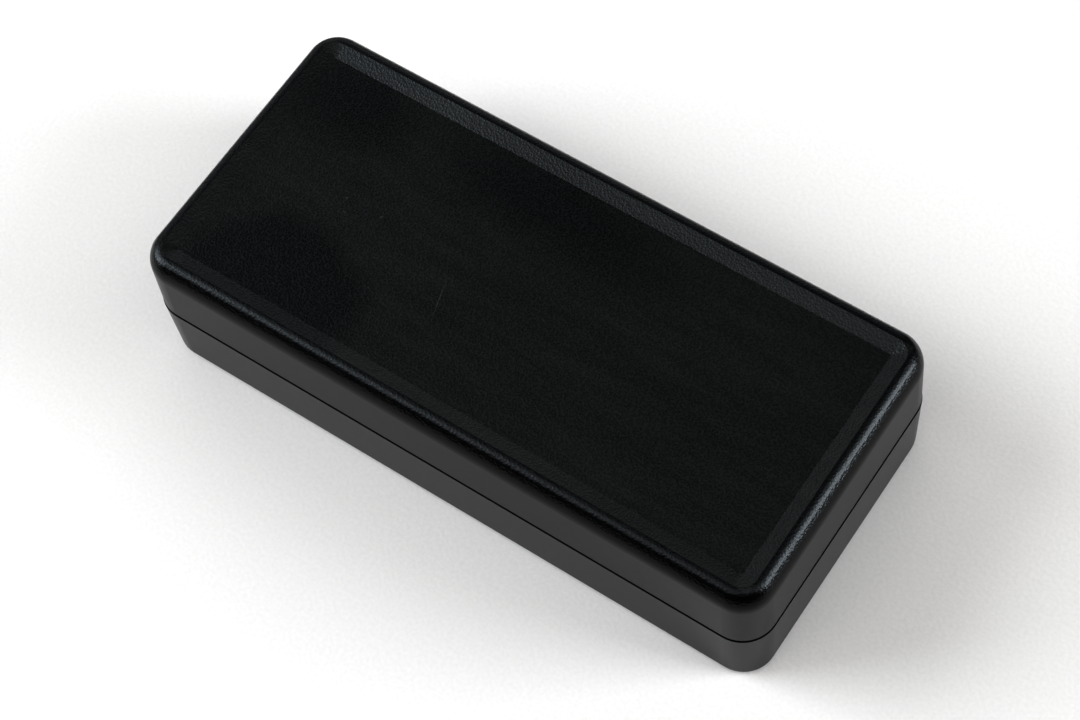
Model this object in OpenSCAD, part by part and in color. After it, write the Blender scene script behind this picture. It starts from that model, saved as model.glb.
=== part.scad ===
// Two-shell plastic project box with a bevelled label recess in its lid.
// Four self-tapping screws from underneath hold the shells together.
// Origin: centre of the underside. +X along the length, +Z up, millimetres.

/* [Case] */
// Length at the joint line
case_l = 100; // [80:1:140]
// Width at the joint line
case_w = 46; // [42:1:70]
// Height with the box closed
case_h = 25; // [23:0.5:32]
// Height of the joint line, which is the height of the bottom shell
joint_h = 12.8; // [11.5:0.1:14]
// Radius of the four upright corners at the joint line
corner_r = 5; // [4.4:0.1:7]
// Thickness of the side walls
wall_t = 2; // [1.8:0.1:2.4]
// Thickness of the bottom shell's floor
floor_t = 2; // [1.6:0.1:2.6]
// Thickness of the top shell's roof under the label recess
roof_t = 2; // [1.6:0.1:2.6]

/* [Moulded edges] */
// Draft angle of the top shell's walls
top_draft = 1.1; // [0.5:0.1:2.5]
// Draft angle of the bottom shell's walls
base_draft = 1.6; // [0.5:0.1:3]
// Radius of the rounded edge round the top
top_edge_r = 1.5; // [1:0.1:2.2]
// Radius of the wider shoulder that leads from the top shell's walls into that edge
shoulder_r = 4.1; // [2.5:0.1:5]
// Angle at which the shoulder passes into the edge, measured from the upright
shoulder_turn = 41; // [25:1:50]
// Radius of the edge round the underside
base_edge_r = 1.6; // [0.5:0.1:1.9]
// Radius of the edge between the walls and the floor or roof inside
inner_edge_r = 0.8; // [0.3:0.1:1]
// Width of the small chamfer on both shells' outer edges at the joint line
joint_chamfer = 0.2; // [0.05:0.01:0.25]
// How far the bottom shell stands proud of the top shell at the joint line
shell_step = 0.08; // [0.01:0.01:0.15]

/* [Label recess] */
// Depth of the recess floor below the rim
recess_depth = 0.8; // [0.4:0.1:1.4]
// Width of the flat land between the rounded top edge and the bevel
rim_land = 0.15; // [0.05:0.05:0.6]
// Width of the bevel that runs down to the recess floor
bevel_w = 2.15; // [1:0.05:3]
// Corner radius of the recess floor
recess_corner_r = 0.25; // [0.15:0.05:3]

/* [Tongue and rebate] */
// Height of the bottom shell's tongue above the joint line
tongue_h = 1.5; // [1:0.1:2]
// Thickness of the tongue at its root
tongue_t = 0.85; // [0.6:0.05:1]
// Chamfer that leads the tongue into the rebate
tongue_chamfer = 0.25; // [0.1:0.05:0.4]
// Side gap between the tongue and the rebate
tongue_side_gap = 0.12; // [0.05:0.01:0.2]
// Gap between the tongue's top and the rebate's shoulder
tongue_top_gap = 0.2; // [0.1:0.05:0.4]

/* [Screw pillars] */
// Distance of each screw's axis from the case's sides at the joint line
screw_inset = 6; // [5.8:0.1:7]
// Diameter of the pillars that meet at the joint line
pillar_d = 6; // [5.6:0.1:6.6]
// Height of the seat under the screw head, above the underside
seat_h = 3.6; // [3.2:0.1:4]
// Thickness of plastic above the screw seat, inside the wide foot of the pillar
seat_t = 1.8; // [1.2:0.1:2.4]
// Thickness of plastic round the counterbore
counterbore_wall = 1.1; // [0.9:0.1:1.4]
// Radial clearance round the screw head in the counterbore
head_clearance = 0.25; // [0.15:0.05:0.4]
// Radial clearance round the thread in the bottom shell
thread_clearance = 0.2; // [0.1:0.05:0.3]
// Radial clearance of the pilot hole round the screw's core
pilot_clearance = 0.1; // [0.02:0.01:0.15]
// Depth of the pilot hole beyond the screw's point
pilot_spare = 1; // [0.5:0.1:1.5]
// Gap between the pillars' ends with the box closed
pillar_gap = 0.15; // [0.05:0.05:0.3]
// Thickness of the web that ties each pillar to its corner
web_t = 1.2; // [0.8:0.1:1.6]
// Drop of the webs from the joint line and from the rebate's shoulder
web_drop = 1; // [0.6:0.1:2]

/* [Screws] */
// Length of the screw under its head
screw_l = 14; // [12:0.5:15]
// Outer diameter of the thread
thread_d = 2.9; // [2.6:0.1:3.1]
// Diameter of the screw's core
core_d = 2.2; // [1.8:0.1:2.4]
// Length of the screw's point
point_l = 1.6; // [1:0.1:2.4]
// Diameter of the blunt end of the point
point_d = 0.6; // [0.4:0.1:1]
// Diameter of the pan head
head_d = 5.4; // [5:0.1:5.8]
// Height of the pan head
head_h = 2; // [1.6:0.1:2.2]
// Radius of the pan head's rounded edge
head_edge_r = 0.9; // [0.4:0.1:1.2]
// Length of each slot of the cross recess
cross_l = 2.9; // [2:0.1:3.4]
// Width of each slot of the cross recess
cross_w = 0.8; // [0.5:0.05:1]
// Depth of the cross recess
cross_depth = 1.2; // [0.8:0.1:1.3]

/* [Board posts] */
// Distance between the circuit board's posts along the length
post_dx = 60; // [40:1:62]
// Distance between the circuit board's posts across the width
post_dy = 26; // [16:1:28]
// Height of the posts above the floor
post_h = 4; // [3:0.5:6]
// Diameter of the posts
post_d = 4.6; // [4:0.1:5.4]
// Diameter of the posts' pilot holes
post_pilot_d = 1.9; // [1.6:0.1:2.4]
// Thickness of plastic under the posts' pilot holes
post_pilot_floor = 1.5; // [1:0.1:2]
// Thickness of the gussets round the posts
gusset_t = 0.8; // [0.6:0.1:1.2]
// Reach of the gussets beyond the posts
gusset_reach = 1.6; // [1:0.1:2.2]
// Distance from the gussets' upper ends to the posts' tops
gusset_drop = 1.2; // [0.8:0.1:2]

/* [Hidden] */
$fn = 96;

plastic = [0.05, 0.05, 0.055];
steel = [0.72, 0.73, 0.74];

// How far a cutting solid runs past the face it opens
over = 1;

// How far a wall's end runs inside the arc it meets, and one arc inside the next, so that they cross cleanly
blend = 0.001;

// Heights above the joint line inside the top shell
top_rise = case_h - joint_h;
roof_rise = top_rise - recess_depth - roof_t;
rebate_h = tongue_h + tongue_top_gap;

// Distances outwards from the axes of the case's corners
top_x = corner_r - shell_step;
tongue_x = corner_r - wall_t + tongue_t;
rebate_x = tongue_x + tongue_side_gap;

// The label recess, as distances inwards from the case's sides
recess_edge = corner_r - edge_axis(top_x, top_rise, top_draft, top_edge_r, shoulder_r) + rim_land;
recess_axis = recess_edge + bevel_w + recess_corner_r;

// Screws, pillars and their corners
screw_x = case_l / 2 - screw_inset;
screw_y = case_w / 2 - screw_inset;
screw_xy = [[screw_x, screw_y], [-screw_x, screw_y], [-screw_x, -screw_y], [screw_x, -screw_y]];
head_r = head_d / 2;
counterbore_r = head_r + head_clearance;
foot_r = counterbore_r + counterbore_wall;
foot_h = seat_h + seat_t;
bottom_pillar_h = joint_h - pillar_gap;
pilot_rise = seat_h + screw_l + pilot_spare - joint_h;

// Distance from a screw's axis to the middle of the wall in its corner, where draft brings it closest
corner_reach = (screw_inset - corner_r) * sqrt(2) + corner_r - wall_t / 2;
base_web_l = corner_reach - joint_h * tan(base_draft);
top_web_l = corner_reach - shell_step - roof_rise * tan(top_draft);
top_web_z = rebate_h + web_drop;

post_top = floor_t + post_h;

// Unit vector at an angle above the horizontal
function toward(angle) = [cos(angle), sin(angle)];

// Distance from the corner's axis to the centre of the rounded edge, which touches the face and the
// shoulder, where the shoulder touches the wall. A shoulder as small as the edge is no shoulder
function edge_axis(x, rise, draft, r, wide) =
  x - (wide - (wide - r) * cos(shoulder_turn - draft) + sin(draft) * (rise - r)) / cos(draft);

// Half section of a drafted wall: x outwards from the corner's axis, y away from the joint line
module half_section(x, rise, draft, edge_r, wide_r = 0, chamfer = 0, below = 0) {
  r = min(edge_r, (x - rise * tan(draft)) * 0.9);
  wide = max(r, wide_r);
  edge = [edge_axis(x, rise, draft, r, wide), rise - r];
  hub = edge - (wide - r) * toward(shoulder_turn);
  foot = chamfer > 0 ? [[x - chamfer, 0], [x - chamfer * tan(draft), chamfer]] : [[x, -below], [x, 0]];
  wall_end = hub + (wide - 2 * blend) * toward(draft);
  turn_end = edge + (r - 2 * blend) * toward(shoulder_turn);
  polygon(concat([[0, -below]], foot, [wall_end, turn_end, [edge[0], rise], [0, rise]]));
  translate(edge) intersection() {
    circle(r = r);
    square(2 * r);
  }
  if (wide > r) translate(hub) intersection() {
    circle(r = wide - blend);
    polygon([[0, 0], 2 * wide * toward(draft - 10), 2 * wide * toward(shoulder_turn)]);
  }
}

// Carries a half section once round the case, with the corners' axes at the given inset
module ring(inset) {
  l = case_l - 2 * inset;
  w = case_w - 2 * inset;
  for (side = [[l, w, 0], [w, l, 90], [l, w, 180], [w, l, 270]])
    rotate(side[2]) translate([0, side[1] / 2, 0]) rotate([90, 0, 90])
      linear_extrude(side[0], center = true) children();
  for (turn = [[l, w, 0], [-l, w, 90], [-l, -w, 180], [l, -w, 270]])
    translate([turn[0] / 2, turn[1] / 2, 0]) rotate(turn[2]) rotate_extrude(angle = 90) children();
}

// The same ring with its middle filled from low to high
module slab(inset, low, high) {
  ring(inset) children();
  translate([inset - case_l / 2, inset - case_w / 2, low])
    cube([case_l - 2 * inset, case_w - 2 * inset, high - low]);
}

// Repeats its children at each screw's axis
module at_screws() {
  for (p = screw_xy) translate([p[0], p[1], 0]) children();
}

// The web from each pillar towards the nearest corner
module webs(reach, low, high) {
  for (p = screw_xy) translate([p[0], p[1], low]) rotate(atan2(sign(p[1]), sign(p[0])))
    translate([0, -web_t / 2, 0]) cube([reach, web_t, high - low]);
}

module recess() {
  slab(recess_axis, top_rise - recess_depth, top_rise + over) polygon([
    [0, top_rise - recess_depth],
    [recess_corner_r, top_rise - recess_depth],
    [recess_corner_r + bevel_w, top_rise],
    [recess_corner_r + bevel_w, top_rise + over],
    [0, top_rise + over]
  ]);
}

module rebate() {
  slab(corner_r, -over, rebate_h) polygon([
    [0, -over],
    [rebate_x, -over],
    [rebate_x, rebate_h],
    [0, rebate_h]
  ]);
}

module top_shell() {
  color(plastic) translate([0, 0, joint_h]) difference() {
    union() {
      difference() {
        slab(corner_r, 0, top_rise)
          half_section(top_x, top_rise, top_draft, top_edge_r, shoulder_r, chamfer = joint_chamfer);
        slab(corner_r, -over, roof_rise)
          half_section(top_x - wall_t, roof_rise, top_draft, inner_edge_r, below = over);
        rebate();
        recess();
      }
      at_screws() cylinder(d = pillar_d, h = roof_rise + roof_t / 2);
      webs(top_web_l, top_web_z, roof_rise + roof_t / 2);
    }
    at_screws() translate([0, 0, -over]) cylinder(d = core_d + 2 * pilot_clearance, h = pilot_rise + over);
  }
}

// The tongue stands on the inner part of the wall and runs a little way down into it
module tongue() {
  tip = tongue_h - tongue_chamfer;
  ring(corner_r) polygon([
    [corner_r - wall_t, -over],
    [tongue_x, -over],
    [tongue_x, tip],
    [tongue_x - tongue_chamfer, tongue_h],
    [corner_r - wall_t, tongue_h]
  ]);
}

// A post for the circuit board with four gussets at its foot
module post() {
  r = post_d / 2;
  translate([0, 0, floor_t / 2]) cylinder(d = post_d, h = post_h + floor_t / 2);
  for (turn = [0:90:270]) rotate(turn) translate([0, gusset_t / 2, floor_t]) rotate([90, 0, 0])
    linear_extrude(gusset_t) polygon([
      [0, -floor_t / 2],
      [r + gusset_reach, -floor_t / 2],
      [r + gusset_reach, 0],
      [r, post_h - gusset_drop],
      [0, post_h - gusset_drop]
    ]);
}

// Repeats its children at each board post's axis
module at_posts() {
  for (x = [-1, 1], y = [-1, 1]) translate([x * post_dx / 2, y * post_dy / 2, 0]) children();
}

module bottom_shell() {
  color(plastic) difference() {
    union() {
      translate([0, 0, joint_h]) mirror([0, 0, 1]) difference() {
        slab(corner_r, 0, joint_h)
          half_section(corner_r, joint_h, base_draft, base_edge_r, chamfer = joint_chamfer);
        slab(corner_r, -over, joint_h - floor_t)
          half_section(corner_r - wall_t, joint_h - floor_t, base_draft, inner_edge_r, below = over);
      }
      translate([0, 0, joint_h]) tongue();
      at_screws() translate([0, 0, floor_t / 2]) {
        cylinder(r = foot_r, h = foot_h - floor_t / 2);
        cylinder(d = pillar_d, h = bottom_pillar_h - floor_t / 2);
      }
      webs(base_web_l, floor_t / 2, joint_h - web_drop);
      at_posts() post();
    }
    at_screws() {
      translate([0, 0, -over]) cylinder(r = counterbore_r, h = seat_h + over);
      cylinder(d = thread_d + 2 * thread_clearance, h = joint_h + over);
    }
    at_posts() translate([0, 0, post_pilot_floor])
      cylinder(d = post_pilot_d, h = post_top - post_pilot_floor + over);
  }
}

// A pan-head screw, point up, with the underside of its head at height zero
module screw() {
  flat_r = head_r - head_edge_r;
  difference() {
    union() {
      mirror([0, 0, 1]) rotate_extrude() {
        square([flat_r, head_h]);
        square([head_r, head_h - head_edge_r]);
        translate([flat_r, head_h - head_edge_r]) intersection() {
          circle(r = head_edge_r);
          square(2 * head_edge_r);
        }
      }
      cylinder(d = core_d, h = screw_l - point_l);
      translate([0, 0, screw_l - point_l]) cylinder(d1 = core_d, d2 = point_d, h = point_l);
    }
    for (turn = [0, 90]) rotate(turn) translate([-cross_l / 2, -cross_w / 2, -head_h - over])
      cube([cross_l, cross_w, cross_depth + over]);
  }
}

module placed_screw(i) {
  color(steel) translate([screw_xy[i][0], screw_xy[i][1], seat_h]) screw();
}

top_shell();
bottom_shell();
placed_screw(0);  // screw_1
placed_screw(1);  // screw_2
placed_screw(2);  // screw_3
placed_screw(3);  // screw_4
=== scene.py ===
"""Looks of the plastic project box: moulded black shells, zinc-plated screws and a lit, pale table."""

import math

import bpy
import numpy as np
from mathutils import Matrix, Vector


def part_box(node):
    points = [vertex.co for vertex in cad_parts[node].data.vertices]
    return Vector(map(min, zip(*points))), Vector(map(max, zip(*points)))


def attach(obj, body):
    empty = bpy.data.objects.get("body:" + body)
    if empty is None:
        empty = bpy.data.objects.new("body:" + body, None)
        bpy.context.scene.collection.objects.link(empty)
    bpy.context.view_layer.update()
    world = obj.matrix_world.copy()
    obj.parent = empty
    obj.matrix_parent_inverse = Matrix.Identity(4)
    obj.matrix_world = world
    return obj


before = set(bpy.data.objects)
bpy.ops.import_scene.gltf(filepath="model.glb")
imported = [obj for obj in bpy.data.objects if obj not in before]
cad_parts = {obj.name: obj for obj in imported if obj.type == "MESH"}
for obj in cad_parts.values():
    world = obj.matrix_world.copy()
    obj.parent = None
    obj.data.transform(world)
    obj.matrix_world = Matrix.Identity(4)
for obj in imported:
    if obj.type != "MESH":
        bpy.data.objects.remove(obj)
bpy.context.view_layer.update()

# --- Camera ---------------------------------------------------------------------------------
# A hand-held camera with a short telephoto lens, above the table and beyond one corner of the
# box, and leaning a little to one side. It looks at a point near the middle of the box.
MM = 0.001
azimuth = math.radians(42.83)
elevation = math.radians(61.89)
lean = math.radians(-9.9)
distance = 353.9 * MM
aim = Vector((2.34, -1.87, 12.5)) * MM
lens_mm = 86.16
sensor_mm = 36

back = Vector((
    math.sin(azimuth) * math.cos(elevation),
    -math.cos(azimuth) * math.cos(elevation),
    math.sin(elevation),
))
level = Vector((math.cos(azimuth), math.sin(azimuth), 0))
right = level * math.cos(lean) + back.cross(level) * math.sin(lean)
placing = Matrix((right, back.cross(right), back)).transposed().to_4x4()
placing.translation = aim + back * distance

lens = bpy.data.cameras.new("camera")
lens.lens = lens_mm
lens.sensor_width = sensor_mm
lens.clip_start = 10 * MM
lens.clip_end = 20
camera = bpy.data.objects.new("camera", lens)
camera.matrix_world = placing
bpy.context.scene.collection.objects.link(camera)
bpy.context.scene.camera = camera
bpy.context.scene.view_settings.view_transform = "Standard"
bpy.context.scene.view_settings.look = "Very High Contrast"

# --- Moulded shells -------------------------------------------------------------------------
# The lid and the base of the case, each moulded in one shot from black ABS. The mould is etched:
# a leather grain on the top, which hides scuffs, fading into glossy walls. The label recess has
# been wiped: a thin haze of dust with clean dark ovals, faint streaks, three specks and a scratch.
shell_nodes = ("top_shell", "bottom_shell")
black = (0.001, 0.001, 0.001)
dust = (0.0103, 0.0103, 0.009)
specular_level = 0.38
wall_roughness = 0.27
top_roughness = 0.43
roughness_swing = 0.1
seam_roughness = 1.0
rim_inset = 2.47 * MM
edge_blend = 0.1 * MM
grain_start = 2.1 * MM
grain_full = 1.3 * MM
gloss_start = 0.7 * MM
seam_half = 0.2 * MM
seam_blend = 0.04 * MM
grain_cell = 0.33 * MM
grain_smooth = 0.4
grain_depth = 0.045 * MM
grain_crown = 0.1
grain_valley = 0.7
rim_grain = 0.8
matt_cell = 0.12 * MM
matt_depth = 0.004 * MM
# Marks in the recess: centre x and y, half lengths along and across (mm), turn (deg), softness.
clean_marks = (
    (-31, -17.5, 13.5, 12, 0, 0.15),
    (-38, 14, 9, 6, 0, 0.5),
    (-5, 14, 16, 5.5, -4, 0.5),
)
dust_specks = (
    (-30.2, 0.4, 0.25, 0.15, 30, 0.5),
    (-29.1, -1.6, 0.2, 0.12, -20, 0.5),
    (-24.3, 0.4, 0.3, 0.1, 60, 0.5),
)
scratch = (-10.1, -6, 2.5, 0.06, -73.4, 0.5)
speck_strength = 2.5
clean_haze = 0.2
thin_haze = 0.7
thick_haze = 1.15
mark_stray = 5 * MM
stray_scale = 130
wipe_angle = math.radians(35)
wipe_scale = (60, 420, 60)


def material(name):
    """Makes a node material and returns it with its node tree and its surface shader."""
    made = bpy.data.materials.new(name)
    made.use_nodes = True
    return made, made.node_tree, made.node_tree.nodes["Principled BSDF"]


def add(tree, kind, inputs=None, **settings):
    """Adds a node, sets its own properties, and sets or links the named inputs."""
    made = tree.nodes.new("ShaderNode" + kind)
    for key, value in settings.items():
        setattr(made, key, value)
    for key, value in (inputs or {}).items():
        if isinstance(value, bpy.types.NodeSocket):
            tree.links.new(value, made.inputs[key])
        else:
            made.inputs[key].default_value = value
    return made


def dress(names, made):
    """Gives the CAD nodes of these names one material."""
    for name in names:
        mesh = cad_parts[name].data
        mesh.materials.clear()
        mesh.materials.append(made)


def math_node(tree, operation, *values):
    """Adds a maths node on two or three numbers or sockets and returns its result."""
    return add(tree, "Math", dict(enumerate(values)), operation=operation).outputs["Value"]


def ramp(tree, value, start, end, low=0.0, high=1.0):
    """Adds a straight ramp that goes from low to high as the value goes from start to end."""
    made = add(tree, "MapRange", {"Value": value, "From Min": start, "From Max": end,
                                  "To Min": low, "To Max": high})
    return made.outputs["Result"]


def oval(tree, place, x, y, along, across, turn, soft):
    """A soft-edged oval mark: one within it, and zero outside. The place is taken from the centre,
    turned back, and divided by the half lengths, and its distance from zero is then ramped at one."""
    lay = add(tree, "Mapping", {
        "Vector": place,
        "Location": (x * MM, y * MM, 0),
        "Rotation": (0, 0, math.radians(turn)),
        "Scale": (along * MM, across * MM, 1),
    }, vector_type="TEXTURE")
    far = add(tree, "VectorMath", {0: lay.outputs["Vector"]}, operation="LENGTH").outputs["Value"]
    return ramp(tree, far, 1 + soft, 1 - soft)


def combine(tree, marks, operation):
    """Joins several masks into one, pair by pair, with a maths node."""
    joined = marks[0]
    for mark in marks[1:]:
        joined = math_node(tree, operation, joined, mark)
    return joined


plastic, tree, shader = material("black_abs")
place = add(tree, "TexCoord").outputs["Object"]
height = add(tree, "SeparateXYZ", {"Vector": place}).outputs["Z"]
lid_low, lid_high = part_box("top_shell")
joint_z, top_z = lid_low[2], lid_high[2]

# How far a point lies outside the crest of the rim: negative over the label recess.
crest = (lid_high[0] - rim_inset, lid_high[1] - rim_inset, 0)
size = add(tree, "VectorMath", {0: place}, operation="ABSOLUTE").outputs["Vector"]
past = add(tree, "VectorMath", {0: size, 1: crest}, operation="SUBTRACT").outputs["Vector"]
past_sides = add(tree, "SeparateXYZ", {"Vector": past})
outside = combine(tree, [past_sides.outputs["X"], past_sides.outputs["Y"]], "MAXIMUM")

# Gloss: the crowns of the grain are shinier than its valleys, the walls are shinier than the top,
# and the gap of the joint is dull.
cells = add(tree, "TexVoronoi", {"Vector": place, "Scale": 1 / grain_cell, "Smoothness": grain_smooth},
            feature="SMOOTH_F1").outputs["Distance"]
polish = ramp(tree, cells, grain_crown, grain_valley,
              top_roughness - roughness_swing, top_roughness + roughness_swing)
shoulder = ramp(tree, height, top_z - gloss_start, top_z, wall_roughness, polish)
skin = ramp(tree, outside, -edge_blend, edge_blend, polish, shoulder)
gap = math_node(tree, "ABSOLUTE", math_node(tree, "SUBTRACT", height, joint_z))
rough = ramp(tree, gap, seam_half, seam_half + seam_blend, seam_roughness, skin)
tree.links.new(rough, shader.inputs["Roughness"])

# Colour: bare black plastic, with the haze over the recess.
grained = ramp(tree, height, top_z - grain_start, top_z - grain_full)
stray = add(tree, "TexNoise", {"Vector": place, "Scale": stray_scale, "Detail": 2}).outputs["Color"]
stray = add(tree, "VectorMath", {0: stray, 1: (0.5, 0.5, 0.5)}, operation="SUBTRACT").outputs["Vector"]
bent = add(tree, "VectorMath", {0: stray, 1: (mark_stray, mark_stray, 0), 2: place},
           operation="MULTIPLY_ADD").outputs["Vector"]
clean = combine(tree, [oval(tree, bent, *mark) for mark in clean_marks], "MAXIMUM")
wipe = add(tree, "Mapping", {"Vector": place, "Rotation": (0, 0, wipe_angle), "Scale": wipe_scale})
streaks = add(tree, "TexNoise", {"Vector": wipe.outputs["Vector"], "Scale": 1, "Detail": 5}).outputs["Fac"]
film = ramp(tree, streaks, 0.35, 0.7, thin_haze, thick_haze)
haze = ramp(tree, clean, 0, 1, film, clean_haze)
specks = combine(tree, [oval(tree, place, *mark) for mark in (*dust_specks, scratch)], "ADD")
lint = math_node(tree, "MULTIPLY_ADD", specks, speck_strength, haze)
inside = ramp(tree, outside, edge_blend, -edge_blend, 0, lint)
soiled = math_node(tree, "MULTIPLY", inside, grained)
colour = add(tree, "VectorMath", {0: soiled, 1: dust, 2: black}, operation="MULTIPLY_ADD")
tree.links.new(colour.outputs["Vector"], shader.inputs["Base Color"])

# Relief: the leather grain, weaker outside the rim and gone on the walls, and a fine matt etch.
depth = ramp(tree, outside, edge_blend, -edge_blend, rim_grain, grained)
worn = math_node(tree, "MULTIPLY", depth, grained)
grain = add(tree, "Bump", {"Height": cells, "Strength": worn, "Distance": grain_depth}, invert=True)
etch = add(tree, "TexNoise", {"Vector": place, "Scale": 1 / matt_cell, "Detail": 3}).outputs["Fac"]
matt = add(tree, "Bump", {"Height": etch, "Distance": matt_depth, "Normal": grain.outputs["Normal"]})
tree.links.new(matt.outputs["Normal"], shader.inputs["Normal"])
shader.inputs["Specular IOR Level"].default_value = specular_level
dress(shell_nodes, plastic)

# --- Screws ---------------------------------------------------------------------------------
# Four self-tapping screws of zinc-plated steel, cold headed and thread rolled. They go in from
# underneath, and cut their own thread in the pillars of the lid. Only the thread is added here,
# as a ridge that is rolled round the plain core.
screw_nodes = ("screw_1", "screw_2", "screw_3", "screw_4")
core_r = 1.1 * MM
crest_r = 1.45 * MM
tip_r = 0.3 * MM
point_l = 1.6 * MM
head_h = 2 * MM
pitch = 1.12 * MM
ridge_root = 0.62 * MM
ridge_crest = 0.1 * MM
ridge_sunk = 0.06 * MM
plain_neck = 0.7 * MM
run_out = 0.6
steps_per_turn = 40
zinc = (0.6, 0.61, 0.63, 1)
zinc_shiny = 0.22
zinc_dull = 0.48
scuff_depth = 0.004 * MM
scuff_scale = (900, 900, 9000)


def thread(x, y, bottom, top):
    """A ridge wound round a screw's core. A four-cornered section goes round the axis once for each
    pitch that it climbs. The core's radius falls in a straight line over the point, and the ridge
    grows out of the core and sinks back into it over a part of a turn at both ends."""
    turns = (top - bottom) / pitch
    t = np.linspace(0, turns, int(turns * steps_per_turn) + 1)[1:-1]
    z = bottom + t * pitch
    core = np.interp(z, [top - point_l, top], [core_r, tip_r])
    swell = np.clip(np.minimum(t, turns - t) / run_out, 0, 1)
    inner = core - ridge_sunk
    outer = inner + (crest_r - core_r + ridge_sunk) * swell
    radius = np.stack([inner, outer, outer, inner])
    rise = np.stack([-ridge_root * swell, -ridge_crest * swell, ridge_crest * swell, ridge_root * swell]) / 2
    turn = 2 * math.pi * t
    rings = np.stack([x + radius * np.cos(turn), y + radius * np.sin(turn), z + rise], axis=-1)
    ends = np.array([[x + core_r - ridge_sunk, y, bottom], [x, y, top - ridge_root / 2]])
    last_turn = 2 * math.pi * turns
    ends[1, :2] += (tip_r - ridge_sunk) * np.array([math.cos(last_turn), math.sin(last_turn)])
    verts = np.concatenate([rings.transpose(1, 0, 2).reshape(-1, 3), ends])
    count = len(t)
    step = np.arange(count - 1)[:, None] * 4
    corner = np.arange(4)[None, :]
    following = (corner + 1) % 4
    quads = np.stack([step + corner, step + 4 + corner, step + 4 + following, step + following], axis=-1)
    loop = np.arange(4)
    start = np.stack([np.full(4, count * 4), loop, (loop + 1) % 4], axis=-1)
    last = (count - 1) * 4
    end = np.stack([np.full(4, count * 4 + 1), last + (loop + 1) % 4, last + loop], axis=-1)
    return verts, quads.reshape(-1, 4).tolist() + start.tolist() + end.tolist()


steel, tree, shader = material("zinc_plate")
place = add(tree, "TexCoord").outputs["Object"]
lay = add(tree, "Mapping", {"Vector": place, "Scale": scuff_scale})
marks = add(tree, "TexNoise", {"Vector": lay.outputs["Vector"], "Scale": 1, "Detail": 4}).outputs["Fac"]
tree.links.new(ramp(tree, marks, 0, 1, zinc_shiny, zinc_dull), shader.inputs["Roughness"])
scuff = add(tree, "Bump", {"Height": marks, "Distance": scuff_depth})
tree.links.new(scuff.outputs["Normal"], shader.inputs["Normal"])
shader.inputs["Base Color"].default_value = zinc
shader.inputs["Metallic"].default_value = 1
dress(screw_nodes, steel)

for name in screw_nodes:
    low, high = (Vector(corner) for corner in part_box(name))
    middle = (low + high) / 2
    verts, faces = thread(middle.x, middle.y, low.z + head_h + plain_neck, high.z)
    mesh = bpy.data.meshes.new(name + "_thread")
    mesh.from_pydata(verts, [], faces)
    mesh.materials.append(steel)
    ridge = bpy.data.objects.new(name + "_thread", mesh)
    bpy.context.scene.collection.objects.link(ridge)
    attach(ridge, "root")

# --- Table and light ------------------------------------------------------------------------
# A matt table top with a fine tooth. Its colour carries a painted pool of light round the box and painted
# shade further off, so that the shoulder of the lid mirrors a dark band. Four soft lights stand round it and
# above it.
table_half = 2.0
table_colour = (0.648, 0.604, 0.572)
table_roughness = 0.9
table_specular = 0.1
# How far the painted pool of light reaches, where the painted shade is full, and how dark that shade is.
light_pool_reach = 0.13
painted_shade_reach = 0.24
painted_shade_share = 0.2
tooth_scale = 1800
tooth_depth = 0.03 * MM
light_reach = 0.9
window_tint = (0.86, 0.94, 1.0)
room_tint = (0.92, 0.96, 1.0)
world_tint = (0.95, 0.97, 1.0, 1)
world_strength = 0.05

paper, tree, shader = material("pale_table")
place = add(tree, "TexCoord").outputs["Object"]
reach = add(tree, "VectorMath", {0: place}, operation="LENGTH").outputs["Value"]
tooth = add(tree, "TexNoise", {"Vector": place, "Scale": tooth_scale, "Detail": 4}).outputs["Fac"]
shade = ramp(tree, tooth, 0.3, 0.7, 0.965, 1.02)
# Painted light: the table's colour is a pale pool round the box, and it fades into painted shade further
# off.
lit = add(tree, "MapRange", {"Value": reach, "From Min": light_pool_reach, "From Max": painted_shade_reach,
                             "To Min": shade, "To Max": painted_shade_share}, interpolation_type="SMOOTHSTEP")
tint = add(tree, "VectorMath", {0: table_colour, "Scale": lit.outputs["Result"]}, operation="SCALE")
tree.links.new(tint.outputs["Vector"], shader.inputs["Base Color"])
press = add(tree, "Bump", {"Height": tooth, "Distance": tooth_depth})
tree.links.new(press.outputs["Normal"], shader.inputs["Normal"])
shader.inputs["Roughness"].default_value = table_roughness
shader.inputs["Specular IOR Level"].default_value = table_specular
mesh = bpy.data.meshes.new("table")
corners = table_half * np.array([[-1, -1, 0], [1, -1, 0], [1, 1, 0], [-1, 1, 0]])
mesh.from_pydata(corners, [], [[0, 1, 2, 3]])
mesh.materials.append(paper)
table = bpy.data.objects.new("table", mesh)
bpy.context.scene.collection.objects.link(table)


def window(name, azimuth, elevation, width, height, power, colour):
    """A rectangle of soft light that faces the box. Its direction is given by azimuth and elevation
    in degrees, its width and height are in metres, and its power is in watts."""
    light = bpy.data.lights.new(name, "AREA")
    light.shape = "RECTANGLE"
    light.size = width
    light.size_y = height
    light.energy = power
    light.color = colour
    a, e = math.radians(azimuth), math.radians(elevation)
    away = Vector((math.sin(a) * math.cos(e), -math.cos(a) * math.cos(e), math.sin(e)))
    lamp = bpy.data.objects.new(name, light)
    facing = away.to_track_quat("Z", "Y").to_matrix().to_4x4()
    lamp.matrix_world = Matrix.Translation(light_reach * away) @ facing
    bpy.context.scene.collection.objects.link(lamp)


window("window_left", 298, 31, 0.55, 0.8, 7.8, window_tint)
window("window_right", 113, 19, 0.4, 0.65, 6.1, window_tint)
window("wall_behind", 222, 22, 1.2, 0.4, 2.1, room_tint)
window("ceiling", 46, 71, 2.4, 0.45, 5.4, room_tint)
world = bpy.data.worlds.new("room")
world.use_nodes = True
world.node_tree.nodes["Background"].inputs["Color"].default_value = world_tint
world.node_tree.nodes["Background"].inputs["Strength"].default_value = world_strength
bpy.context.scene.world = world
